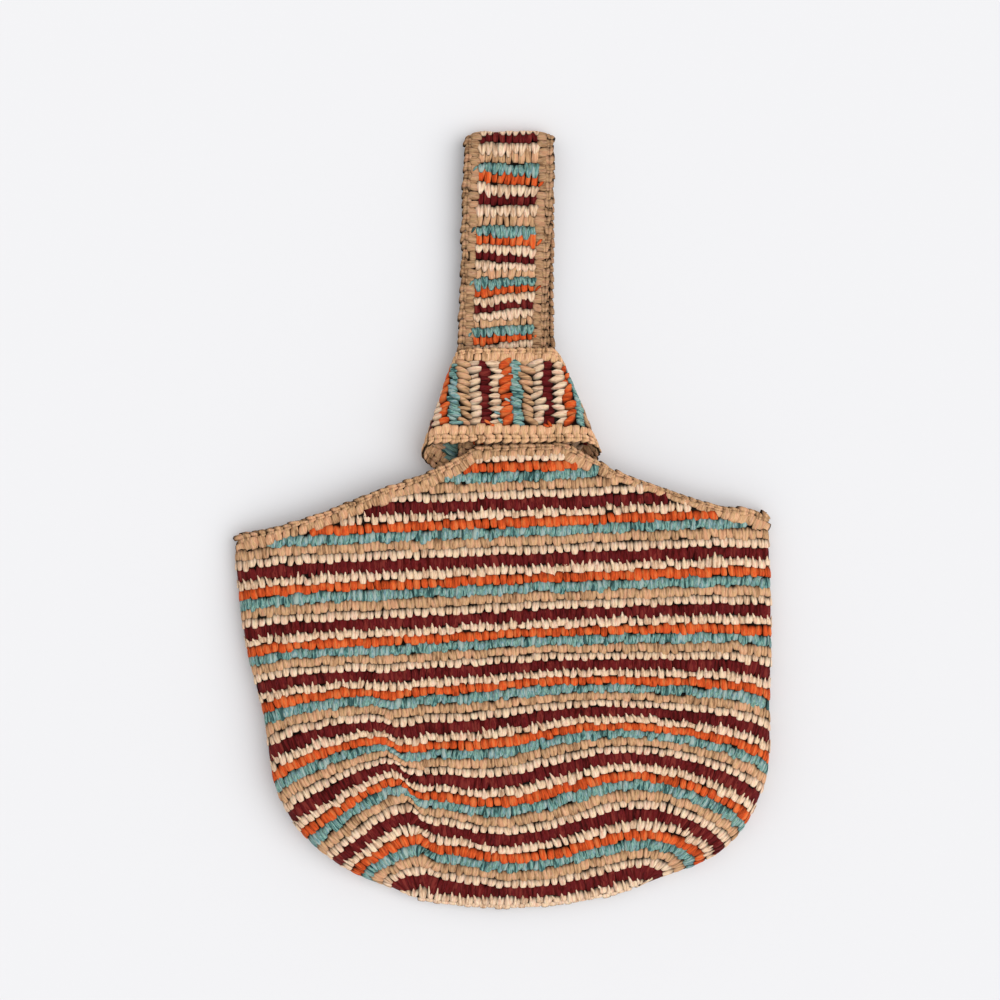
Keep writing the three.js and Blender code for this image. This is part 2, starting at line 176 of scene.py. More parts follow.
def cloth_sheet(made, columns, rows, skin):
    """Adds a grid of fabric; skin takes the shares across and up, and gives points and row numbers."""
    row_of = made.verts.layers.float["row"]
    count = len(made.verts)
    bmesh.ops.create_grid(made, x_segments=columns, y_segments=rows, size=0.5)
    made.verts.ensure_lookup_table()
    fresh = made.verts[count:]
    shares = np.array([vert.co for vert in fresh]) + 0.5
    points, numbers = skin(shares[:, 0], shares[:, 1])
    for vert, point, number in zip(fresh, lie_down(points), numbers):
        vert.co = point
        vert[row_of] = number


def rounds_sheet(across, up):
    """All the rounds: the front in the first half across, the back in the second."""
    half = np.where(across < 0.5, 0, 1)
    turn = half + ease(across * 2 - half, 0, 1)
    return pouch_skin(turn, up * ROUNDS), up * ROUNDS


def flap_sheet(behind):
    """The rows of one flap, from slope to slope."""
    def sheet(across, up):
        row = ROUNDS + up * FLAP_ROWS
        left, right = (-np.cos(np.pi * flap_turn(slope, row)) for slope in (LEFT_SLOPE, RIGHT_SLOPE))
        reach = 1 - across if behind else across
        side = (1 - np.cos(np.pi * ease(reach, 0, 1))) / 2
        turn = np.arccos(-np.clip(mix(left, right, side), -1, 1)) / np.pi
        return pouch_skin(2 - turn if behind else turn, row), row
    return sheet


def linear(colour):
    """A colour written as 0 to 255 on screen, as Blender's linear light."""
    return [((c / 255 + 0.055) / 1.055) ** 2.4 if c > 10 else c / 3295 for c in colour] + [1]


class Socket:
    """An output of a material's node. Sums and products of values add Math nodes."""

    def __init__(self, tree, output=None):
        self.tree = tree
        self.output = output

    def node(self, kind, settings=None, inputs=None, output=0):
        made = self.tree.nodes.new(kind)
        for key, value in (settings or {}).items():
            if key == "stops":
                ramp = made.color_ramp
                ramp.elements.remove(ramp.elements[1])
                ramp.elements[0].position, ramp.elements[0].color = value[0]
                for position, colour in value[1:]:
                    ramp.elements.new(position).color = colour
            elif key == "steps":
                made.color_ramp.interpolation = value
            else:
                setattr(made, key, value)
        for key, value in (inputs or {}).items():
            if isinstance(value, Socket):
                self.tree.links.new(value.output, made.inputs[key])
            else:
                made.inputs[key].default_value = value
        return Socket(self.tree, made.outputs[output])

    def math(self, operation, first, second):
        return self.node("ShaderNodeMath", {"operation": operation}, {0: first, 1: second})

    def __add__(self, other):
        return self.math("ADD", self, other)

    def __mul__(self, other):
        return self.math("MULTIPLY", self, other)

    __radd__ = __add__
    __rmul__ = __mul__

    def feed(self, shader, name):
        self.tree.links.new(self.output, shader.inputs[name])


def new_material(name):
    """A matt material, with a start for its nodes."""
    material = bpy.data.materials.new(name)
    material.use_nodes = True
    shader = material.node_tree.nodes["Principled BSDF"]
    shader.inputs["Specular IOR Level"].default_value = MATT
    return material, Socket(material.node_tree), shader


def lining_material():
    """Wrong side of the rows: the yarns' stripes darkened as painted shade, with the grain of the strands.
    """
    material, start, shader = new_material("raffia_lining_painted_shade")
    row = start.node("ShaderNodeAttribute", {"attribute_name": "row"}, output="Fac")
    place = start.node("ShaderNodeTexCoord", output="Object")
    phase = start.math("FRACT", (row + 0.5) * (1 / len(YARNS)), 0)
    # The yarns' stripes, darkened as painted shade.
    shaded = [linear(np.array(YARN_COLOURS[yarn]) * LINING_SHADE) for yarn in YARNS]
    stops = [(k / len(YARNS), colour) for k, colour in enumerate(shaded)]
    stripe = start.node("ShaderNodeValToRGB", {"steps": "CONSTANT", "stops": stops}, {"Fac": phase})
    grain = start.node("ShaderNodeTexNoise", {}, {"Vector": place, "Scale": LINING_GRAIN, "Detail": 3})
    colour = start.node(
        "ShaderNodeMix", {"data_type": "RGBA", "blend_type": "MULTIPLY"},
        {"Factor": 1, 6: stripe, 7: grain * LINING_CONTRAST + LINING_DARKEST}, output=2,
    )
    colour.feed(shader, "Base Color")
    (grain * LINING_ROUGHNESS_SPREAD + LINING_ROUGHNESS).feed(shader, "Roughness")
    bump = start.node("ShaderNodeBump", {}, {"Height": grain, "Distance": LINING_BUMP * MM, "Strength": 0.7})
    bump.feed(shader, "Normal")
    return material


def new_piece(name, made, material):
    mesh = bpy.data.meshes.new(name)
    made.to_mesh(mesh)
    made.free()
    mesh.materials.append(material)
    mesh.shade_smooth()
    piece = bpy.data.objects.new(name, mesh)
    bpy.context.scene.collection.objects.link(piece)
    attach(piece, "root")
    return piece


lining_painted_shade = lining_material()


def lining(name, sheets):
    """One thin shell under the stitches, from grids that are joined where they meet."""
    made = bmesh.new()
    made.verts.layers.float.new("row")
    for columns, rows, skin in sheets:
        cloth_sheet(made, columns, rows, skin)
    bmesh.ops.remove_doubles(made, verts=made.verts, dist=JOIN * MM)
    made.normal_update()
    row_of = made.verts.layers.float["row"]
    for vert in made.verts:
        ridge = LINING_RIDGE * math.cos(2 * math.pi * vert[row_of])
        vert.co -= vert.normal * (LINING_INSET + ridge) * MM
    piece = new_piece(name, made, lining_painted_shade)
    wall = piece.modifiers.new("wall", "SOLIDIFY")
    wall.thickness = LINING_THICKNESS * MM
    wall.offset = -1
    return piece


pouch_lining = lining("pouch_lining", [
    (LINING_COLUMNS, 2 * ROUNDS, rounds_sheet),
    (LINING_COLUMNS // 2, 2 * FLAP_ROWS, flap_sheet(False)),
    (LINING_COLUMNS // 2, 2 * FLAP_ROWS, flap_sheet(True)),
])
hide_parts("pouch")

# Pouch stitches. Single crochet in raffia, always worked from the outside, in a repeat of six rows.
# A cream or tan stitch is two strands that meet in a V, the others are one plump strand; on the
# lower cream rows a spike of the yarn is drawn up over the maroon row.
STITCH = 4.7
DEPTH_IN = 1.75
WOBBLE = 0.095
LEAN_WOBBLE = 1.4
ROW_WOBBLE = 0.8
DEPTH_WOBBLE = 2.5
GRAIN_SHIFT = 40
SIDE_ROUNDNESS = 0.75
FACE_ROUNDNESS = 0.4
TAPER_FROM = 0.3
SPIKE = 0.52
SPIKE_WIDTH = 0.26
SPIKE_THICKNESS = 0.7
SPIKE_POINT = 0.2
SPIKE_SLANT = 0.2
SPIKE_RISE = 1.1
SPIKE_ASIDE = -0.28
SPIKE_FOOT = 0.06
SPIKE_LIFT = 1.42
HALF_TURN_POINTS = 120
UPRIGHT = Matrix.Rotation(-math.pi / 2, 3, "X")
half_turn = ease(np.linspace(0, 1, HALF_TURN_POINTS + 1), 0, 1)[:-1]
TURNS = np.concatenate([half + half_turn for half in (-1, 0, 1, 2)])
SEED = 11
draw = np.random.RandomState(SEED)


def distances(line):
    """How far along a line of points each of them lies."""
    return np.concatenate([[0], np.cumsum(np.linalg.norm(np.diff(line, axis=0), axis=1))])


class Course:
    """One row of stitches on a skin: where its stitches lie along it, and points on and above it."""

    def __init__(self, skin, turns, row, start, end, rise=1.0, closed=False):
        self.skin, self.turns, self.row, self.rise, self.closed = skin, turns, row, rise, closed
        marks = distances(skin(turns, np.full(len(turns), float(row))))
        self.marks = marks - np.interp(start, turns, marks)
        self.length = np.interp(end, turns, self.marks)

    def spot(self, along, row):
        return self.skin(np.interp(along, self.marks, self.turns), row)

    def slopes(self, along, row, step=0.5, part=0.1):
        """How the skin runs here for each millimetre along the course and for each row up."""
        rise = part * self.rise
        reach = (self.spot(along + step, row) - self.spot(along - step, row)) / (2 * step)
        climb = (self.spot(along, row + rise) - self.spot(along, row - rise)) / (2 * part)
        return reach, climb

    def points(self, along, up, lift):
        """Points of stitches that stand square to the course, lifted off the skin."""
        reach, climb = self.slopes(along, np.full(along.shape, float(self.row)))
        drift = (reach * climb).sum(axis=-1) / (reach * reach).sum(axis=-1)
        along = along - drift * up
        row = self.row + up * self.rise
        out = np.cross(*self.slopes(along, row))
        out /= np.linalg.norm(out, axis=-1, keepdims=True)
        return self.spot(along, row) + out * lift[..., None]


def strand(
    made, width, height, depth, top=0.4, bottom=0.5, taper=0.0, point=0.0, tilt=0.0, roll=0.0,
    lean=0.0, shift=0.0, lift=0.0, sides=8, rings=6,
):
    """Adds a plump upright strand, in stitch widths, row heights and millimetres out of the fabric.

    Its ends are rounder with a larger top or bottom, taper narrows the foot and point the top.
    """
    verts = bmesh.ops.create_uvsphere(made, u_segments=sides, v_segments=rings, radius=1)["verts"]
    bmesh.ops.rotate(made, verts=verts, cent=(0, 0, 0), matrix=UPRIGHT)
    for vert in verts:
        x, y, z = vert.co
        ring = max(math.hypot(x, z), 1e-6)
        full = ring ** (top if y > 0 else bottom)
        narrow = 1 - taper * max(0, TAPER_FROM - y) / (1 + TAPER_FROM) - point * max(0, y)
        aside = math.copysign(abs(x / ring) ** SIDE_ROUNDNESS, x)
        out = math.copysign(abs(z / ring) ** FACE_ROUNDNESS, z)
        vert.co = (
            aside * full * narrow * width / 2 + lean * y / 2,
            y * height / 2 + shift,
            out * full * depth / 2 - tilt * y + roll * aside * full + lift,
        )
    return verts


def bead(**look):
    """One stitch of a single strand."""
    made = bmesh.new()
    strand(made, **look)
    return made


def vee(width, height, depth, spread=0.21, slant=0.34, spike=0.0, **look):
    """A stitch of two strands that part at the top and meet below; a spike of yarn rises on its left."""
    made = bmesh.new()
    for side in (-1, 1):
        verts = strand(made, width, height, depth, lean=slant * side, sides=6, rings=5, **look)
        bmesh.ops.translate(made, verts=verts, vec=(spread * side, 0, 0))
    if spike:
        tip = bmesh.ops.create_cone(
            made, cap_ends=True, cap_tris=True, segments=5, radius1=1, radius2=SPIKE_POINT, depth=1,
        )["verts"]
        bmesh.ops.rotate(made, verts=tip, cent=(0, 0, 0), matrix=UPRIGHT)
        bmesh.ops.scale(made, verts=tip, vec=(SPIKE_WIDTH, spike, SPIKE_THICKNESS))
        bmesh.ops.rotate(made, verts=tip, cent=(0, 0, 0), matrix=Matrix.Rotation(SPIKE_SLANT, 3, "Z"))
        for vert in tip:
            vert.co.z += SPIKE_RISE * vert.co.y
        bmesh.ops.translate(made, verts=tip, vec=(SPIKE_ASIDE, SPIKE_FOOT + spike / 2, SPIKE_LIFT))
    return made


def copies(stitch, count):
    """So many copies of a stitch, one after another, made by doubling a clean copy of it."""
    pattern = bpy.data.meshes.new("stitch")
    stitch.to_mesh(pattern)
    stitch.free()
    row = bmesh.new()
    row.from_mesh(pattern)
    bpy.data.meshes.remove(pattern)
    sizes = [len(items) for items in (row.verts, row.edges, row.faces)]
    made = 1
    while made < count:
        more = min(made, count - made)
        geom = []
        for items, size in zip((row.verts, row.edges, row.faces), sizes):
            geom += items[:more * size]
        bmesh.ops.duplicate(row, geom=geom)
        made += more
    return row


def crochet(name, stitch, courses, material, slot, pitch=STITCH, wobble=WOBBLE):
    """Copies of one stitch, side by side along each course, each a little different."""
    counts = [max(1, round(course.length / pitch)) for course in courses]
    row = copies(stitch, sum(counts))
    shape = np.array([vert.co for vert in row.verts[:len(row.verts) // sum(counts)]])
    low, high = shape[:, 2].min(), shape[:, 2].max()
    proud = 2 * (shape[:, 2] - low) / (high - low) - 1
    laid, fibres = [], []
    for course, count in zip(courses, counts):
        gap = course.length / count
        local = np.repeat(shape[None], count, axis=0)
        size = 1 + wobble * draw.randn(count, 1, 3)
        local = local * size
        local[..., 0] += local[..., 1] * wobble * LEAN_WOBBLE * draw.randn(count, 1)
        phase = draw.rand() if course.closed else 0.5
        middle = (np.arange(count) + phase) * gap
        along = middle[:, None] + local[..., 0] * gap
        if course.closed:
            along = along % course.length
        up = local[..., 1] + wobble * ROW_WOBBLE * draw.randn(count, 1)
        lift = local[..., 2] - DEPTH_IN - np.abs(wobble * DEPTH_WOBBLE * draw.randn(count, 1))
        laid.append(course.points(along, up, lift).reshape(-1, 3))
        place = local * np.array([gap, ROW_HEIGHT, 1])
        place[..., :2] += GRAIN_SHIFT * draw.rand(count, 1, 2)
        # The third coordinate is the point's place in the stitch's depth, from which the materials paint
        # shade between the stitches.
        place[..., 2] = proud
        fibres.append(place.reshape(-1, 3))
    tints = np.repeat(draw.rand(sum(counts)), len(shape))
    piece = new_piece(name, row, material)
    piece.data.vertices.foreach_set("co", lie_down(np.concatenate(laid)).astype(np.float32).ravel())
    fibre = piece.data.attributes.new("fibre", "FLOAT_VECTOR", "POINT")
    fibre.data.foreach_set("vector", np.concatenate(fibres).astype(np.float32).ravel())
    tint = piece.data.attributes.new("tint", "FLOAT", "POINT")
    tint.data.foreach_set("value", tints.astype(np.float32))
    piece.data.update()
    return piece


FLECKS = {
    "cream": [(196, 150, 112), (255, 220, 184), (236, 206, 160), (255, 228, 208), (232, 178, 150)],
    "tan": [(132, 92, 60), (212, 166, 124), (194, 162, 112), (230, 184, 154), (200, 140, 108)],
    "maroon": [(44, 4, 4), (98, 18, 18), (116, 36, 42), (78, 10, 16), (142, 60, 52)],
    "orange": [(140, 38, 18), (230, 88, 32), (204, 64, 42), (240, 116, 54), (222, 134, 82)],
    "teal": [
        (28, 66, 70), (96, 152, 148), (162, 198, 186), (98, 130, 108), (112, 154, 172), (174, 190, 182),
    ],
}
FIBRE_STRETCH = (1.0, 0.12, 1.0)
FLECK_STRETCH = (0.65, 0.12, 0.65)
# Shades of the yarn between its strands: place in the grain, share of the yarn's colour.
STRAND_SHADES = [(0.38, 0.34), (0.47, 0.78), (0.55, 1.0), (0.64, 1.14)]
STRAND_PART, STRAND_TINT, STRAND_LEVEL = 0.8, 0.1, 0.1
FLECK_PART, FLECK_TINT = 0.85, 0.15
FLECK_FROM, FLECK_SPAN = 0.38, 0.22
# Painted shade between and under the stitches: the colour darkens from this share of a stitch's half depth
# down to the share groove, below which it keeps the darkest share.
CREVICE_SHADE_TOP = 0.95
CREVICE_SHADE_DARKEST = 0.02
YARN_ROUGHNESS = 0.45
YARN_ROUGHNESS_SPREAD = 0.3
YARN_BUMP = 1


def raffia(yarn, use="rows", groove=0.4, fleck_share=0.5, shade=1.0):
    """Raffia yarn: matt strands along the stitch, with painted shade below the share of its height called
    groove.
    """
    material, start, shader = new_material(f"raffia_{yarn}_{use}")
    fibre = start.node("ShaderNodeAttribute", {"attribute_name": "fibre"}, output="Vector")
    tint = start.node("ShaderNodeAttribute", {"attribute_name": "tint"}, output="Fac")
    long = start.node("ShaderNodeVectorMath", {"operation": "MULTIPLY"}, {0: fibre, 1: FIBRE_STRETCH})
    strands = start.node(
        "ShaderNodeTexNoise", {}, {"Vector": long, "Scale": 1, "Detail": 6, "Roughness": 0.65},
    )
    light = shade * np.array(YARN_COLOURS[yarn])
    stops = [(place, linear(np.minimum(255, light * share))) for place, share in STRAND_SHADES]
    level = strands * STRAND_PART + tint * STRAND_TINT + STRAND_LEVEL
    colour = start.node("ShaderNodeValToRGB", {"stops": stops}, {"Fac": level})
    short = start.node("ShaderNodeVectorMath", {"operation": "MULTIPLY"}, {0: fibre, 1: FLECK_STRETCH})
    blotch = start.node("ShaderNodeTexNoise", {}, {"Vector": short, "Scale": 1, "Detail": 3})
    flecks = np.minimum(255, shade * np.array(FLECKS[yarn]))
    step = FLECK_SPAN / (len(flecks) - 1)
    stops = [(FLECK_FROM + step * k, linear(fleck)) for k, fleck in enumerate(flecks)]
    level = blotch * FLECK_PART + tint * FLECK_TINT
    mottle = start.node("ShaderNodeValToRGB", {"stops": stops}, {"Fac": level})
    colour = start.node(
        "ShaderNodeMix", {"data_type": "RGBA"}, {"Factor": fleck_share, 6: colour, 7: mottle}, output=2,
    )
    proud = start.node("ShaderNodeSeparateXYZ", {}, {"Vector": fibre}, output="Z")
    # Painted shade: darker down the sides of each stitch, where it meets its neighbours.
    crevice_shade = start.node("ShaderNodeMapRange", {"interpolation_type": "SMOOTHSTEP"}, {
        "Value": start.math("ABSOLUTE", proud, 0), "From Min": groove, "From Max": CREVICE_SHADE_TOP,
        "To Min": CREVICE_SHADE_DARKEST, "To Max": 1,
    })
    colour = start.node(
        "ShaderNodeMix", {"data_type": "RGBA", "blend_type": "MULTIPLY"},
        {"Factor": 1, 6: colour, 7: crevice_shade}, output=2,
    )
    colour.feed(shader, "Base Color")
    (strands * YARN_ROUGHNESS_SPREAD + YARN_ROUGHNESS).feed(shader, "Roughness")
    bump = start.node("ShaderNodeBump", {}, {"Height": strands, "Distance": YARN_BUMP * MM, "Strength": 0.9})
    bump.feed(shader, "Normal")
    return material


yarns = {
    "cream": raffia("cream"),
    "tan": raffia("tan"),
    "maroon": raffia("maroon"),
    "orange": raffia("orange"),
    "teal": raffia("teal", groove=0.3, fleck_share=0.8),
}


def pouch_courses(rows):
    """The closed rounds among these rows, and the two flaps' rows."""
    found = []
    for row in rows:
        if row <= ROUNDS:
            found.append(Course(pouch_skin, TURNS, row, 0, 2, closed=True))
            continue
        left, right = float(flap_turn(LEFT_SLOPE, row)), float(flap_turn(RIGHT_SLOPE, row))
        found.append(Course(pouch_skin, TURNS, row, left, right))
        found.append(Course(pouch_skin, TURNS, row, 2 - right, 2 - left))
    return found


ORANGE = dict(width=1.26, height=1.3, depth=3.4, top=0.35, bottom=0.42, tilt=0.35, lean=-0.12)
CREAM_LOWER = dict(
    width=0.84, height=1.14, depth=3.5, spread=0.16, slant=0.2, top=0.35, bottom=0.45, tilt=0.5,
    shift=-0.09,
)
MAROON = dict(width=1.35, height=1.62, depth=2.6, top=0.3, bottom=0.3, shift=-0.08)
CREAM_UPPER = dict(
    width=0.8, height=1.26, depth=3.6, spread=0.16, slant=0.22, bottom=0.45, taper=0.1, tilt=0.7,
    shift=0.06,
)
TAN = dict(width=0.86, height=1.38, depth=3.3, spread=0.22, slant=0.26, top=0.4, bottom=0.45, tilt=0.35)
TEAL = dict(
    width=1.6, height=1.4, depth=3.4, top=0.45, bottom=0.55, taper=0.1, tilt=0.4, lean=0.45, sides=6,
)
SPIKE_WOBBLE = 0.13
TEAL_STITCH = 3.1
TEAL_WOBBLE = 0.14
POUCH_STITCHES = [
    ("orange", "", bead(**ORANGE), {}),
    ("cream", "_lower", vee(spike=SPIKE, **CREAM_LOWER), dict(wobble=SPIKE_WOBBLE)),
    ("maroon", "", bead(**MAROON), {}),
    ("cream", "_upper", vee(**CREAM_UPPER), {}),
    ("tan", "", vee(**TAN), {}),
    ("teal", "", bead(**TEAL), dict(pitch=TEAL_STITCH, wobble=TEAL_WOBBLE)),
]
LAST_ROW = ROUNDS + FLAP_ROWS
for yarn_row, (yarn, suffix, stitch, gauge) in enumerate(POUCH_STITCHES):
    rows = [row for row in range(1, LAST_ROW) if row % len(POUCH_STITCHES) == yarn_row]
    if suffix == "_upper":
        rows.append(LAST_ROW)
    courses = pouch_courses(rows)
    crochet(f"pouch_rows_{yarn}{suffix}", stitch, courses, yarns[yarn], "raffia_" + yarn, **gauge)

# Starting chain. The chain of cream raffia that the bag was begun with. The first round is worked
# into both of its sides, and it closes the base below that round.
STARTING_CHAIN = dict(width=1.3, height=0.7, depth=3.0, top=0.4, bottom=0.5)
STARTING_ROW = 0.3
STARTING_END = 0.1
STARTING_WOBBLE = 0.04
base_line = Course(pouch_skin, TURNS, STARTING_ROW, STARTING_END, 1 - STARTING_END)
crochet(
    "pouch_starting_chain", bead(**STARTING_CHAIN), [base_line], yarns["cream"], "raffia_cream",
    wobble=STARTING_WOBBLE,
)

# Rim edgings. Tan single crochet along the free edge of each flap, from rim corner to rim corner:
# a row of bricks worked outwards into the ends of the rows, and a chain that finishes the edge.
RIM_EDGING = 7
CLEARANCE = 0.4
RIM_END = 2
# The rim is drawn in on its right slope, between these shares of its length, and spreads at its ends.
RIM_NARROWING = 0.4
NARROW_FROM, NARROWEST_FROM, NARROWEST_TO, NARROW_TO = 0.62, 0.75, 0.86, 0.96
LEFT_END_WIDENING = 0.4
RIGHT_END_WIDENING = 0.42
END_SHARE = 0.09
# Middle and width of each band, out from the flap.
RIM_BRICKS = (1.5, 5.0)
RIM_CHAIN = (CLEARANCE + RIM_EDGING - 1.8, 3.8)
RIM_LINING_END = 2
RIM_LINING_LOW = 0.8
RIM_LINING_HIGH = 1.5
RIM_COLUMNS = 136
EDGING_STITCH = 5.2
EDGING_RUN_OUT = 3
TOP_POINTS = 24
EDGE_POINTS = 400
EDGE_BLUR = 25
CORNER_HEIGHT = FABRIC * LEFT_FOLD[-1][2]
TAN_ROW = YARNS.index("tan")


def flap_edge(behind):
    """The bare edge of a flap from the left rim corner over the top to the right corner."""
    rows = np.linspace(ROUNDS, LAST_ROW, 2 * FLAP_ROWS + 1)
    left, right = flap_turn(LEFT_SLOPE, rows), flap_turn(RIGHT_SLOPE, rows)
    top = np.linspace(left[-1], right[-1], TOP_POINTS)
    turns = np.concatenate([left[:-1], top, right[:-1][::-1]])
    levels = np.concatenate([rows[:-1], np.full(len(top), LAST_ROW), rows[:-1][::-1]])
    return pouch_skin(2 - turns if behind else turns, levels)


def smoothed(values):
    """A running mean along the edge."""
    return np.convolve(np.pad(values, EDGE_BLUR // 2, "edge"), np.ones(EDGE_BLUR) / EDGE_BLUR, "valid")


def rim_skin(behind):
    """A rim's outer face and length: turn is the distance along the edge, row the distance out from it."""
    edge = flap_edge(behind)
    marks = distances(edge[:, :2])
    even = np.linspace(0, marks[-1], EDGE_POINTS)
    line = np.stack([np.interp(even, marks, edge[:, k]) for k in range(3)], axis=-1)
    along = np.gradient(line[:, :2], axis=0)
    along = np.stack([smoothed(along[:, k]) for k in range(2)], axis=-1)
    along /= np.linalg.norm(along, axis=1, keepdims=True)
    from_end = np.minimum(even, marks[-1] - even)[:, None]
    along = mix(np.array([1, 0]), along, ease(from_end, 0, 2 * RIM_EDGING))
    along /= np.linalg.norm(along, axis=1, keepdims=True)
    if behind:
        base = np.minimum(line[:, 2], CORNER_HEIGHT - CLEARANCE / 2 - FABRIC)
    else:
        base = np.maximum(line[:, 2] - FABRIC, CORNER_HEIGHT + CLEARANCE / 2)

    def skin(turn, row):
        spot = [np.interp(turn, even, line[:, k]) for k in range(2)]
        go = [np.interp(turn, even, along[:, k]) for k in range(2)]
        height = np.interp(turn, even, base) + FABRIC
        overrun = turn - np.clip(turn, 0, marks[-1])
        share = turn / marks[-1]
        narrowing = ease(share, NARROW_FROM, NARROWEST_FROM) * ease(share, NARROW_TO, NARROWEST_TO)
        left_widening = LEFT_END_WIDENING * ease(share, END_SHARE, 0)
        right_widening = RIGHT_END_WIDENING * ease(share, 1 - END_SHARE, 1)
        row = row * (1 - RIM_NARROWING * narrowing + left_widening + right_widening)
        x = spot[0] - go[1] * row + go[0] * overrun
        y = spot[1] + go[0] * row + go[1] * overrun
        return np.stack([x, y, height], axis=-1)
    return skin, marks[-1]


def rim_sheet(skin, length):
    """The sheet under a rim, drawn in on all sides."""
    def sheet(across, up):
        turn = mix(RIM_END + RIM_LINING_END, length - RIM_END - RIM_LINING_END, across)
        row = mix(RIM_LINING_LOW, RIM_EDGING - RIM_LINING_HIGH, up)
        return skin(turn, row), np.full(len(across), TAN_ROW)
    return sheet


BRICK = dict(width=1.26, height=1.35, depth=3.4, top=0.35, bottom=0.4, lean=0.2)
LINK = dict(
    width=0.7, height=1.45, depth=2.9, spread=0.27, slant=0.26, top=0.6, bottom=0.7, taper=0.3, tilt=0.5,
)


def link():
    """One link of a chain: two slim strands that close to a V along the edge and lie over the next link."""
    made = vee(**LINK)
    bmesh.ops.rotate(made, verts=made.verts, cent=(0, 0, 0), matrix=Matrix.Rotation(math.pi / 2, 3, "Z"))
    return made


def edging(name, skin, start, end, brick_band, chain_band, yarn):
    """Bricks and a chain along a free edge; a band is its middle and its width. Gives the bricks."""
    turns = np.linspace(start - EDGING_RUN_OUT, end + EDGING_RUN_OUT, EDGE_POINTS)
    pieces = []
    for label, stitch, band in (("bricks", bead(**BRICK), brick_band), ("chain", link(), chain_band)):
        middle, width = band
        course = Course(skin, turns, middle, start, end, rise=width)
        pieces.append(crochet(f"{name}_{label}", stitch, [course], yarn, "raffia_tan", EDGING_STITCH))
    return pieces[0]


rim_yarn = raffia("tan", use="rim", groove=0.25)
for side, behind in (("front", False), ("back", True)):
    skin, length = rim_skin(behind)
    bricks = edging(f"{side}_rim", skin, RIM_END, length - RIM_END, RIM_BRICKS, RIM_CHAIN, rim_yarn)
    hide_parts(f"{side}_rim_edging")
    lining(f"{side}_rim_lining", [(RIM_COLUMNS, 2, rim_sheet(skin, length))])

# Long strap. A flat crocheted strap, folded double at its far end, with both ends sewn into the
# front flap. It is worked to and fro, so its rows lie in pairs: the teeth of one row come down
# over the row below, and each row slants a little.
STRAP_FIELD = 36
STRAP_EDGING = 8
STRAP_ACROSS = 4.5
STRAP_BACK_SHIFT = -2.5
STRAP_REACH = 249.5
STRAP_TUCK = 20
STRAP_RUN_OUT = 10
STRAP_LOOP_GAP = 6.2
STRAP_SETTLE = 30
STRAP_STITCH = 4.2
STRAP_ROW_UPPER = 6.2
STRAP_ROW_LOWER = 4.9
STRAP_UPPER_ROWS = 10
STRAP_FIRST_ROW = 1.5
STRAP_ROUNDING = 3.5
STRAP_ROUND_FROM = 14
STRAP_WOBBLE = 0.11
STRAP_SKEW = -4
STRAP_SKEW_LENGTH = 130
STRAP_STEP = 0.5
STRAP_LINING_INSET = 1.5
STRAP_COLUMNS = 8
STRAP_POINTS = 60
# From the loop to the fold: how much a row rises for each millimetre to the right.
STRAP_ROW_SLOPES = [0.11, 0.08, 0.13, -0.05, -0.04, 0, -0.1, 0, 0]
LAYER = FABRIC + CLEARANCE
LOOP_FIELD = 38
LOOP_TOP_EDGING = 7.6
LOOP_BOTTOM_EDGING = 9.6
BEND_POINTS = 25
FOLD_POINTS = 33
MAROON_ROW = YARNS.index("maroon")
flap_top = flap_edge(False)[:, 1].max()
loop_bottom = flap_top + RIM_EDGING + 2 * CLEARANCE
loop_height = LOOP_BOTTOM_EDGING + LOOP_FIELD + LOOP_TOP_EDGING + 2 * CLEARANCE
loop_top = loop_bottom + loop_height


def bend(*handles):
    """Points along a curve with two end points and two handles between them."""
    t = np.linspace(0, 1, BEND_POINTS)[:, None]
    a, b, c, d = (np.array(handle, float) for handle in handles)
    return (1 - t) ** 3 * a + 3 * t * (1 - t) ** 2 * b + 3 * t * t * (1 - t) * c + t ** 3 * d


strap_low = FABRIC / 2
strap_high = strap_low + FABRIC + STRAP_LOOP_GAP
fold_radius = (strap_high - strap_low) / 2
fold_start = STRAP_REACH - FABRIC / 2 - fold_radius
settled = loop_top + STRAP_SETTLE
halfway = (loop_top + settled) / 2
upper, lower = 3 * LAYER + FABRIC / 2, 2 * LAYER + FABRIC / 2
tuck = loop_bottom - STRAP_TUCK
fold_angles = np.linspace(math.pi / 2, -math.pi / 2, FOLD_POINTS)[:, None]
fold_middle = np.array([fold_start, strap_low + fold_radius])
strap_line = np.concatenate([
    [(tuck - STRAP_RUN_OUT, upper), (tuck, upper)],
    bend((loop_top, upper), (halfway, upper), (halfway, strap_high), (settled, strap_high)),
    fold_middle + fold_radius * np.concatenate([np.cos(fold_angles), np.sin(fold_angles)], axis=1),
    bend((settled, strap_low), (halfway, strap_low), (halfway, lower), (loop_top, lower)),
    [(tuck, lower), (tuck - STRAP_RUN_OUT, lower)],
])
strap_marks = distances(strap_line) - STRAP_RUN_OUT
strap_length = strap_marks[-1] - STRAP_RUN_OUT
front_layer = slice(2, 2 + BEND_POINTS + 3)
fold_top = np.interp(fold_start, strap_line[front_layer, 0], strap_marks[front_layer])
fold_apex = fold_top + math.pi * fold_radius / 2


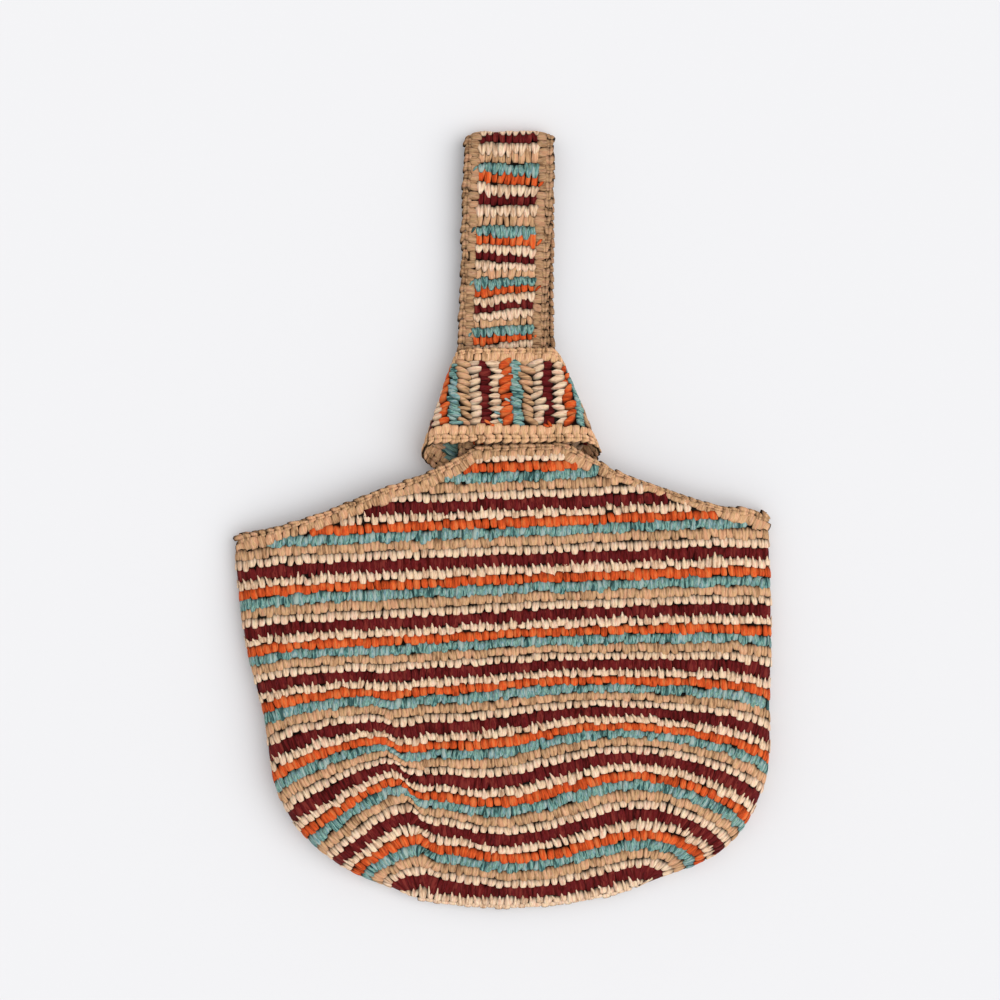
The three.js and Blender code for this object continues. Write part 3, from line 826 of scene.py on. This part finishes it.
def strap_skin(across, along):
    """The strap's outer face: across from its middle, along from its upper end round the fold."""
    spot = [np.interp(along, strap_marks, strap_line[:, k]) for k in range(2)]
    ahead = [np.interp(along + STRAP_STEP, strap_marks, strap_line[:, k]) for k in range(2)]
    behind = [np.interp(along - STRAP_STEP, strap_marks, strap_line[:, k]) for k in range(2)]
    go = np.array([ahead[k] - behind[k] for k in range(2)])
    go = go / np.linalg.norm(go, axis=0)
    shift = STRAP_SKEW * np.clip((fold_apex - along) / STRAP_SKEW_LENGTH, 0, 1)
    corner = np.clip(np.abs(across) / STRAP_ROUND_FROM - 1, 0, 1) ** 2
    corner = corner * STRAP_ROUNDING * np.exp(-((along - fold_apex) / STRAP_ROUND_FROM) ** 2)
    return np.stack([
        STRAP_ACROSS + shift + across,
        spot[0] - go[1] * FABRIC / 2 - corner,
        spot[1] + go[0] * FABRIC / 2,
    ], axis=-1)


# Number, place and height of each row; row 0 lies at the fold, and the front's rows count up from it.
strap_rows = [(0, fold_top + STRAP_FIRST_ROW, STRAP_ROW_UPPER)]
while strap_rows[-1][1] > STRAP_ROW_LOWER:
    number, place, _ = strap_rows[-1]
    pitch = STRAP_ROW_UPPER if number < STRAP_UPPER_ROWS else STRAP_ROW_LOWER
    strap_rows.append((number + 1, place - pitch, pitch))
while strap_rows[0][1] < strap_length - ROW_HEIGHT:
    number, place, _ = strap_rows[0]
    strap_rows.insert(0, (number - 1, place + ROW_HEIGHT, ROW_HEIGHT))
row_places = np.array([place for _, place, _ in strap_rows])
row_numbers = np.array([number for number, _, _ in strap_rows])


def strap_sheet(across, up):
    along = up * strap_length
    aside = (across - 0.5) * (STRAP_FIELD + 2 * STRAP_EDGING - 2 * STRAP_LINING_INSET)
    numbers = np.interp(along, row_places[::-1], row_numbers[::-1].astype(float)) + MAROON_ROW
    return strap_skin(aside, along), numbers


strap_lining = lining("strap_lining", [(STRAP_COLUMNS, 2 * len(strap_rows), strap_sheet)])
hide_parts("long_strap")

STRAP_YARNS = ["maroon", "cream", "tan", "teal", "orange", "cream"]
STRAP_VEE = dict(width=0.86, height=1.4, depth=3.0, top=0.4, bottom=0.6, tilt=0.2, lift=0.5)
PAD = dict(width=1.16, height=1.75, depth=2.9, bottom=0.3, lean=0.15, shift=0.3, lift=-0.2)
STRAP_STITCHES = {
    "maroon": bead(**PAD),
    "cream": vee(taper=0.5, shift=-0.05, **STRAP_VEE),
    "tan": bead(**PAD),
    "teal": vee(taper=0.25, **STRAP_VEE),
    "orange": bead(**PAD),
}
across_strap = np.linspace(-STRAP_FIELD, STRAP_FIELD, STRAP_POINTS)


def strap_field(across, along):
    """The striped field: its rows slant a little, each in its own way, between the loop and the fold."""
    share = (along + tuck - loop_top) / (fold_apex + tuck - loop_top)
    return strap_skin(across, along + across * through(STRAP_ROW_SLOPES, share))


def strap_courses(yarn, start, end):
    """The strap's rows of that yarn, between two places across it."""
    return [
        Course(strap_field, across_strap, place, start, end, rise=pitch)
        for number, place, pitch in strap_rows if STRAP_YARNS[number % len(STRAP_YARNS)] == yarn
    ]


for yarn, stitch in STRAP_STITCHES.items():
    courses = strap_courses(yarn, -STRAP_FIELD / 2, STRAP_FIELD / 2)
    slot = "raffia_" + yarn
    crochet(f"strap_rows_{yarn}", stitch, courses, yarns[yarn], slot, STRAP_STITCH, STRAP_WOBBLE)

# Strap edgings. A tan border down each side of the strap: bricks worked into the ends of the rows,
# and a chain along the edge. Its yarn is a little darker than the rim's.
STRAP_BRICKS = (STRAP_FIELD / 2 + 2.2, 5.0)
STRAP_CHAIN = (STRAP_FIELD / 2 + STRAP_EDGING - 1.7, 4.4)


def strap_left_edge(turn, row):
    """Turn is the distance along the strap, row the distance out from its middle."""
    return strap_skin(-row, turn)


def strap_right_edge(turn, row):
    """The same on the right, counted the other way so that its stitches face outwards."""
    return strap_skin(row, -turn)


strap_border_yarn = raffia("tan", use="strap_border", groove=0.3, shade=0.89)
for side, skin, start, end in (
    ("left", strap_left_edge, 0, strap_length), ("right", strap_right_edge, -strap_length, 0),
):
    bricks = edging(f"strap_{side}", skin, start, end, STRAP_BRICKS, STRAP_CHAIN, strap_border_yarn)
    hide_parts(f"strap_edging_{side}")

# Short loop. A crocheted band round the strap, wider below, whose back half is sewn inside the back
# flap. Its rows run up and down, so the stripes stand upright and are cut off by the side folds.
LOOP_EASE = 1.2
LOOP_BOTTOM_ACROSS = 5.4
LOOP_BOTTOM_HALF_WIDTH = 54.5
LOOP_LIFT = 4
LOOP_BACK_DROP = 22
LOOP_DROP_SHARE = 0.15
LOOP_SQUARENESS = 0.85
LOOP_ROW = 6.3
LOOP_STITCH = 4.0
LOOP_THICK_STITCH = 4.7
LOOP_TEAL_STITCH = 2.7
LOOP_WOBBLE = 0.14
LOOP_FIRST_ROW = -14.5
LOOP_PARALLEL = 55
LOOP_LINING_INSET = 1.5
LOOP_COLUMNS = 60
LOOP_LEVELS = 10
LOOP_POINTS = 40
LOOP_RUN_OUT = 5
strap_half_width = STRAP_FIELD / 2 + CLEARANCE + STRAP_EDGING
loop_top_half_width = strap_half_width + abs(STRAP_BACK_SHIFT) / 2 + LOOP_EASE + FABRIC
loop_top_across = STRAP_ACROSS + STRAP_BACK_SHIFT / 2
corner_line = np.concatenate([
    bend((0, 1), (LOOP_SQUARENESS, 1), (1, 1 - LOOP_SQUARENESS), (1, 0)),
    bend((1, 0), (1, LOOP_SQUARENESS - 1), (LOOP_SQUARENESS, -1), (0, -1))[1:],
])
corner_marks = distances(corner_line)


def loop_sizes(height):
    """At this height: the front's level, the side folds' radius, the flat half width, half the way round."""
    up = height / loop_height
    front = 4 * LAYER + LOOP_EASE + FABRIC + LOOP_LIFT * (1 - up)
    bow = (front - LAYER) / 2
    flat = mix(LOOP_BOTTOM_HALF_WIDTH, loop_top_half_width, up) - bow
    return front, bow, flat, 2 * flat + corner_marks[-1] * bow


def loop_skin(around, height):
    """The loop's outer face: around from the middle of its front to the right, height from below."""
    front, bow, flat, _ = loop_sizes(height)
    reach = np.abs(around)
    corner = np.clip((reach - flat) / bow, 0, corner_marks[-1])
    past = np.maximum(0, reach - flat - corner_marks[-1] * bow)
    x = np.minimum(reach, flat) + bow * np.interp(corner, corner_marks, corner_line[:, 0]) - past
    z = front - bow + bow * np.interp(corner, corner_marks, corner_line[:, 1])
    behind = np.minimum(past / (2 * flat), 1 - past / (2 * flat))
    beside = LOOP_DROP_SHARE * (corner / corner_marks[-1] - 1)
    drop = ease(np.where(past > 0, behind, beside), -LOOP_DROP_SHARE, LOOP_DROP_SHARE / 2)
    middle = mix(LOOP_BOTTOM_ACROSS, loop_top_across, height / loop_height)
    y = loop_bottom + height - LOOP_BACK_DROP * drop
    return np.stack([np.sign(around) * x + middle, y, z], axis=-1)


half_round = loop_sizes(loop_height / 2)[3]
field_low = LOOP_BOTTOM_EDGING + CLEARANCE
field_high = field_low + LOOP_FIELD


def loop_field(around, height):
    """The striped field: rows stand parallel in front and share what is left behind."""
    spare = (loop_sizes(height)[3] - LOOP_PARALLEL) / (half_round - LOOP_PARALLEL)
    beyond = np.maximum(0, np.abs(around) - LOOP_PARALLEL)
    return loop_skin(np.sign(around) * (np.minimum(np.abs(around), LOOP_PARALLEL) + beyond * spare), height)


def loop_sheet(across, up):
    around = mix(-half_round, half_round, across)
    numbers = MAROON_ROW - (around - LOOP_FIRST_ROW) / LOOP_ROW
    return loop_field(around, mix(LOOP_LINING_INSET, loop_height - LOOP_LINING_INSET, up)), numbers


loop_lining = lining("loop_lining", [(LOOP_COLUMNS, LOOP_LEVELS, loop_sheet)])
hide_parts("short_loop")

LOOP_YARNS = ["maroon", "cream", "orange", "teal", "tan", "cream"]
LOOP_SUFFIXES = ["", "_lower", "", "", "", "_upper"]
LOOP_PITCHES = {"orange": LOOP_THICK_STITCH, "maroon": LOOP_THICK_STITCH, "teal": LOOP_TEAL_STITCH}
LOOP_LOOKS = [
    dict(width=1.4, height=1.2, depth=2.4, top=0.3, bottom=0.3, roll=0.3),
    dict(width=1.4, height=1.7, depth=3.4, top=0.8, point=0.8, bottom=0.4, roll=0.5, lean=-0.2),
    dict(width=1.5, height=1.25, depth=3.7, top=0.35, bottom=0.35, roll=0.8, lean=-0.7),
    dict(width=1.6, height=1.3, depth=3.4, top=0.4, bottom=0.5, roll=0.5, lean=1.0),
    dict(width=1.65, height=1.45, depth=3.2, top=0.35, bottom=0.45, taper=0.2, tilt=0.2, roll=0.8, lean=0.9),
    dict(width=1.65, height=1.5, depth=3.4, top=0.35, bottom=0.5, taper=0.2, tilt=0.5, roll=0.8, lean=-0.8),
]
heights = np.linspace(field_low - LOOP_RUN_OUT, field_high + LOOP_RUN_OUT, LOOP_POINTS)
first = math.ceil((-half_round - LOOP_FIRST_ROW) / LOOP_ROW)
last = math.floor((half_round - LOOP_FIRST_ROW) / LOOP_ROW)


def loop_row(turn, row):
    """Rows count to the left, so that the stitches' feet point right; turn is the height."""
    return loop_field(-row, turn)


def loop_course(number, low=0.0, high=1.0):
    """A row of the loop, or the part of it between two shares of the field's height."""
    ends = mix(field_low, field_high, low), mix(field_low, field_high, high)
    return Course(loop_row, heights, -LOOP_FIRST_ROW - number * LOOP_ROW, *ends, rise=LOOP_ROW)


for yarn_row, (yarn, suffix, look) in enumerate(zip(LOOP_YARNS, LOOP_SUFFIXES, LOOP_LOOKS)):
    numbers = [number for number in range(first, last + 1) if number % len(LOOP_YARNS) == yarn_row]
    courses = [loop_course(number) for number in numbers]
    pitch = LOOP_PITCHES.get(yarn, LOOP_STITCH)
    slot = "raffia_" + yarn
    crochet(f"loop_rows_{yarn}{suffix}", bead(**look), courses, yarns[yarn], slot, pitch, LOOP_WOBBLE)

# Stray strands. Where the colours change, short ends of the teal and orange yarns are left lying
# over the stitches: beside the strap's rows, and on the lower part of the loop.
STRAY = dict(width=0.7, height=0.7, depth=2.0, top=0.7, bottom=0.7, taper=0.4, lean=0.6, lift=0.9)
STRAY_REACH = 3.6
# On the loop: the row, and the shares of the field's height between which the strand lies.
LOOP_STRAYS = {
    "teal": [(1, 0.28, 0.4), (1, 0.14, 0.24), (1.4, 0.02, 0.12), (2, 0.36, 0.44)],
    "orange": [(0, 0, 0.1), (6, -0.04, 0.08), (5.6, -0.06, 0.04), (0.7, -0.05, 0.05)],
}
for yarn, side in (("teal", -1), ("orange", 1)):
    ends = sorted((side * STRAP_FIELD / 2, side * (STRAP_FIELD / 2 + STRAY_REACH)))
    courses = strap_courses(yarn, *ends)
    courses += [loop_course(*stray) for stray in LOOP_STRAYS[yarn]]
    slot = "raffia_" + yarn
    crochet(f"stray_strands_{yarn}", bead(**STRAY), courses, yarns[yarn], slot, STRAY_REACH, STRAP_WOBBLE)

# Loop edgings. Tan borders above and below the loop's stripes, paler than the rim: a row of bricks
# each, and a chain along the free edge.
LOOP_BOTTOM_BRICKS = (LOOP_BOTTOM_EDGING - 2.3, 5.2)
LOOP_BOTTOM_CHAIN = (2.4, 5.2)
LOOP_TOP_BRICKS = (loop_height - LOOP_TOP_EDGING + 2.2, 4.8)
LOOP_TOP_CHAIN = (loop_height - 1.8, 4.0)
loop_border_yarn = raffia("tan", use="loop_border", groove=0.2, shade=1.07)
for side, level, brick_band, chain_band in (
    ("bottom", LOOP_BOTTOM_EDGING / 2, LOOP_BOTTOM_BRICKS, LOOP_BOTTOM_CHAIN),
    ("top", loop_height - LOOP_TOP_EDGING / 2, LOOP_TOP_BRICKS, LOOP_TOP_CHAIN),
):
    end = loop_sizes(level)[3]
    bricks = edging(f"loop_{side}", loop_skin, -end, end, brick_band, chain_band, loop_border_yarn)
    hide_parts(f"loop_edging_{side}")

# Floor, light and camera. A plain pale surface, seen from straight above. An even white sky and one
# broad lamp from the right give soft studio light.
FLOOR_COLOUR = (233, 233, 235)
FLOOR_HALF_WIDTH = 6
WORLD_LIGHT = 0.72
LAMP_FROM = (0.9, -0.25, 1.3)
LAMP_SPREAD = 64
LAMP_LIGHT = 1.52
VIEW_MIDDLE = (-1.6, 10.8)
VIEW_WIDTH = 600
SENSOR = 36
LENS = 85
floor_made = bmesh.new()
bmesh.ops.create_grid(floor_made, x_segments=1, y_segments=1, size=FLOOR_HALF_WIDTH)
floor_mesh = bpy.data.meshes.new("floor")
floor_made.to_mesh(floor_mesh)
floor_made.free()
floor = bpy.data.objects.new("floor", floor_mesh)
bpy.context.scene.collection.objects.link(floor)
floor_material, _, floor_shader = new_material("pale_floor")
floor_shader.inputs["Base Color"].default_value = linear(FLOOR_COLOUR)
floor_shader.inputs["Roughness"].default_value = 0.9
floor_mesh.materials.append(floor_material)

world = bpy.data.worlds.new("studio")
bpy.context.scene.world = world
world.use_nodes = True
background = world.node_tree.nodes["Background"]
background.inputs["Color"].default_value = (1, 1, 1, 1)
background.inputs["Strength"].default_value = WORLD_LIGHT

lamp = bpy.data.lights.new("window", "SUN")
lamp.angle = math.radians(LAMP_SPREAD)
lamp.energy = LAMP_LIGHT
lamp_object = bpy.data.objects.new("window", lamp)
lamp_object.location = LAMP_FROM
lamp_object.rotation_euler = lamp_object.location.to_track_quat("Z", "Y").to_euler()
bpy.context.scene.collection.objects.link(lamp_object)

camera_data = bpy.data.cameras.new("above")
camera_data.lens = LENS
camera_data.sensor_width = SENSOR
camera = bpy.data.objects.new("above", camera_data)
distance = VIEW_WIDTH * LENS / SENSOR
camera.location = (VIEW_MIDDLE[0] * MM, VIEW_MIDDLE[1] * MM, (distance + NECK_HEIGHT / 2) * MM)
bpy.context.scene.collection.objects.link(camera)
bpy.context.scene.camera = camera
bpy.context.scene.view_settings.view_transform = "Standard"
